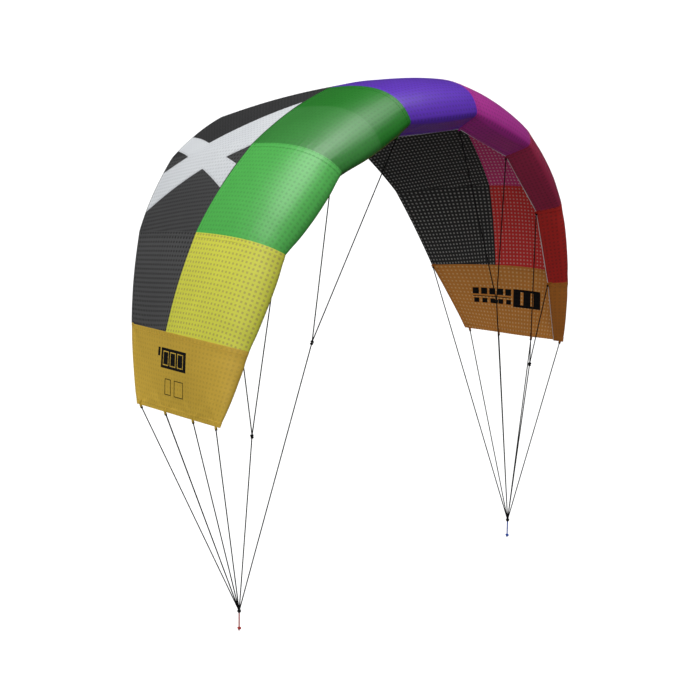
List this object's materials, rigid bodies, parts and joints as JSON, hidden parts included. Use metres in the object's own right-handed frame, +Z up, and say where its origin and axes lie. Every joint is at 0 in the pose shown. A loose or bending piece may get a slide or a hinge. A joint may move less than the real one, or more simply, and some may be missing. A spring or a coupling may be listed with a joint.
{
  "type": "kite",
  "caption": "Single-skin two-line power kite: a cloth arc with a rolled nose, hanging cord bridles on both tips and short coloured leaders.",
  "frame": {"origin": "middle of the flat strip under the nose of the centre cell, on its outer face, where a helper holds the kite", "axes": "+Z up, -Y the way the nose points, +X towards the right wing"},
  "size_m": [0.8026, 0.4097, 0.8026],
  "materials": {
    "black_cloth": "ripstop cloth, faint sheen",
    "purple_cloth": "ripstop cloth, soft sheen",
    "green_cloth": "ripstop cloth, soft sheen",
    "light_green_cloth": "ripstop cloth, soft sheen",
    "yellow_cloth": "ripstop cloth, soft sheen",
    "magenta_cloth": "ripstop cloth, soft sheen",
    "wine_cloth": "ripstop cloth, soft sheen",
    "red_cloth": "ripstop cloth, soft sheen",
    "ochre_cloth": "ripstop cloth, soft sheen",
    "white_cloth": "ripstop cloth, soft sheen",
    "hem_tape": "woven tape",
    "black_line": "braided cord",
    "red_cord": "braided cord",
    "blue_cord": "braided cord"
  },
  "bodies": {
    "centre": {"centre_rear_panel": "black_cloth", "centre_nose_panel": "purple_cloth", "centre_lip_hem": "hem_tape", "centre_trailing_hem": "hem_tape"},
    "left_wing": {"left_rear_panel_1": "black_cloth", "left_rear_panel_2": "black_cloth", "left_rear_panel_3": "black_cloth", "left_nose_panel_1": "green_cloth", "left_nose_panel_2": "light_green_cloth", "left_nose_panel_3": "yellow_cloth", "left_tip_panel": "ochre_cloth", "left_nose_rib_1": "black_cloth", "left_nose_rib_2": "black_cloth", "left_nose_rib_3": "black_cloth", "left_nose_rib_4": "black_cloth", "left_lip_hem": "hem_tape", "left_trailing_hem": "hem_tape", "left_tip_line_1": "black_line", "left_tip_line_2": "black_line", "left_tip_line_3": "black_line", "left_tip_line_4": "black_line", "left_trailing_line": "black_line", "left_inner_branch": "black_line", "left_outer_branch": "black_line", "left_inner_main_line": "black_line", "left_outer_main_line": "black_line", "left_inner_knot": "black_line", "left_outer_knot": "black_line", "white_cross": "white_cloth"},
    "left_gather": {"left_tow_knot": "black_line"},
    "left_leader": {"left_leader": "red_cord", "left_stopper_knot": "red_cord"},
    "right_wing": {"right_rear_panel_1": "black_cloth", "right_rear_panel_2": "black_cloth", "right_rear_panel_3": "black_cloth", "right_nose_panel_1": "magenta_cloth", "right_nose_panel_2": "wine_cloth", "right_nose_panel_3": "red_cloth", "right_tip_panel": "ochre_cloth", "right_nose_rib_1": "black_cloth", "right_nose_rib_2": "black_cloth", "right_nose_rib_3": "black_cloth", "right_nose_rib_4": "black_cloth", "right_lip_hem": "hem_tape", "right_trailing_hem": "hem_tape", "right_tip_line_1": "black_line", "right_tip_line_2": "black_line", "right_tip_line_3": "black_line", "right_tip_line_4": "black_line", "right_trailing_line": "black_line", "right_inner_branch": "black_line", "right_outer_branch": "black_line", "right_inner_main_line": "black_line", "right_outer_main_line": "black_line", "right_inner_knot": "black_line", "right_outer_knot": "black_line"},
    "right_gather": {"right_tow_knot": "black_line"},
    "right_leader": {"right_leader": "blue_cord", "right_stopper_knot": "blue_cord"}
  },
  "joints": [
    {"name": "left_wing_open", "type": "hinge", "parent": "centre", "child": "left_wing", "pos_m": [-0.08518, 0.0647, 0.06204], "axis": [0, 1, 0], "range_deg": [0, 35]},
    {"name": "right_wing_open", "type": "hinge", "parent": "centre", "child": "right_wing", "pos_m": [0.08518, 0.0647, 0.06204], "axis": [0, -1, 0], "range_deg": [0, 35]},
    {"name": "left_gather_swing", "type": "hinge", "parent": "left_wing", "child": "left_gather", "pos_m": [-0.3185, 0.09039, -0.70937], "axis": [0, 1, 0], "range_deg": [-60, 60]},
    {"name": "left_leader_swing", "type": "hinge", "parent": "left_gather", "child": "left_leader", "pos_m": [-0.3185, 0.09039, -0.70937], "axis": [1, 0, 0], "range_deg": [-60, 60]},
    {"name": "right_gather_swing", "type": "hinge", "parent": "right_wing", "child": "right_gather", "pos_m": [0.3185, 0.09039, -0.70937], "axis": [0, 1, 0], "range_deg": [-60, 60]},
    {"name": "right_leader_swing", "type": "hinge", "parent": "right_gather", "child": "right_leader", "pos_m": [0.3185, 0.09039, -0.70937], "axis": [1, 0, 0], "range_deg": [-60, 60]}
  ]
}
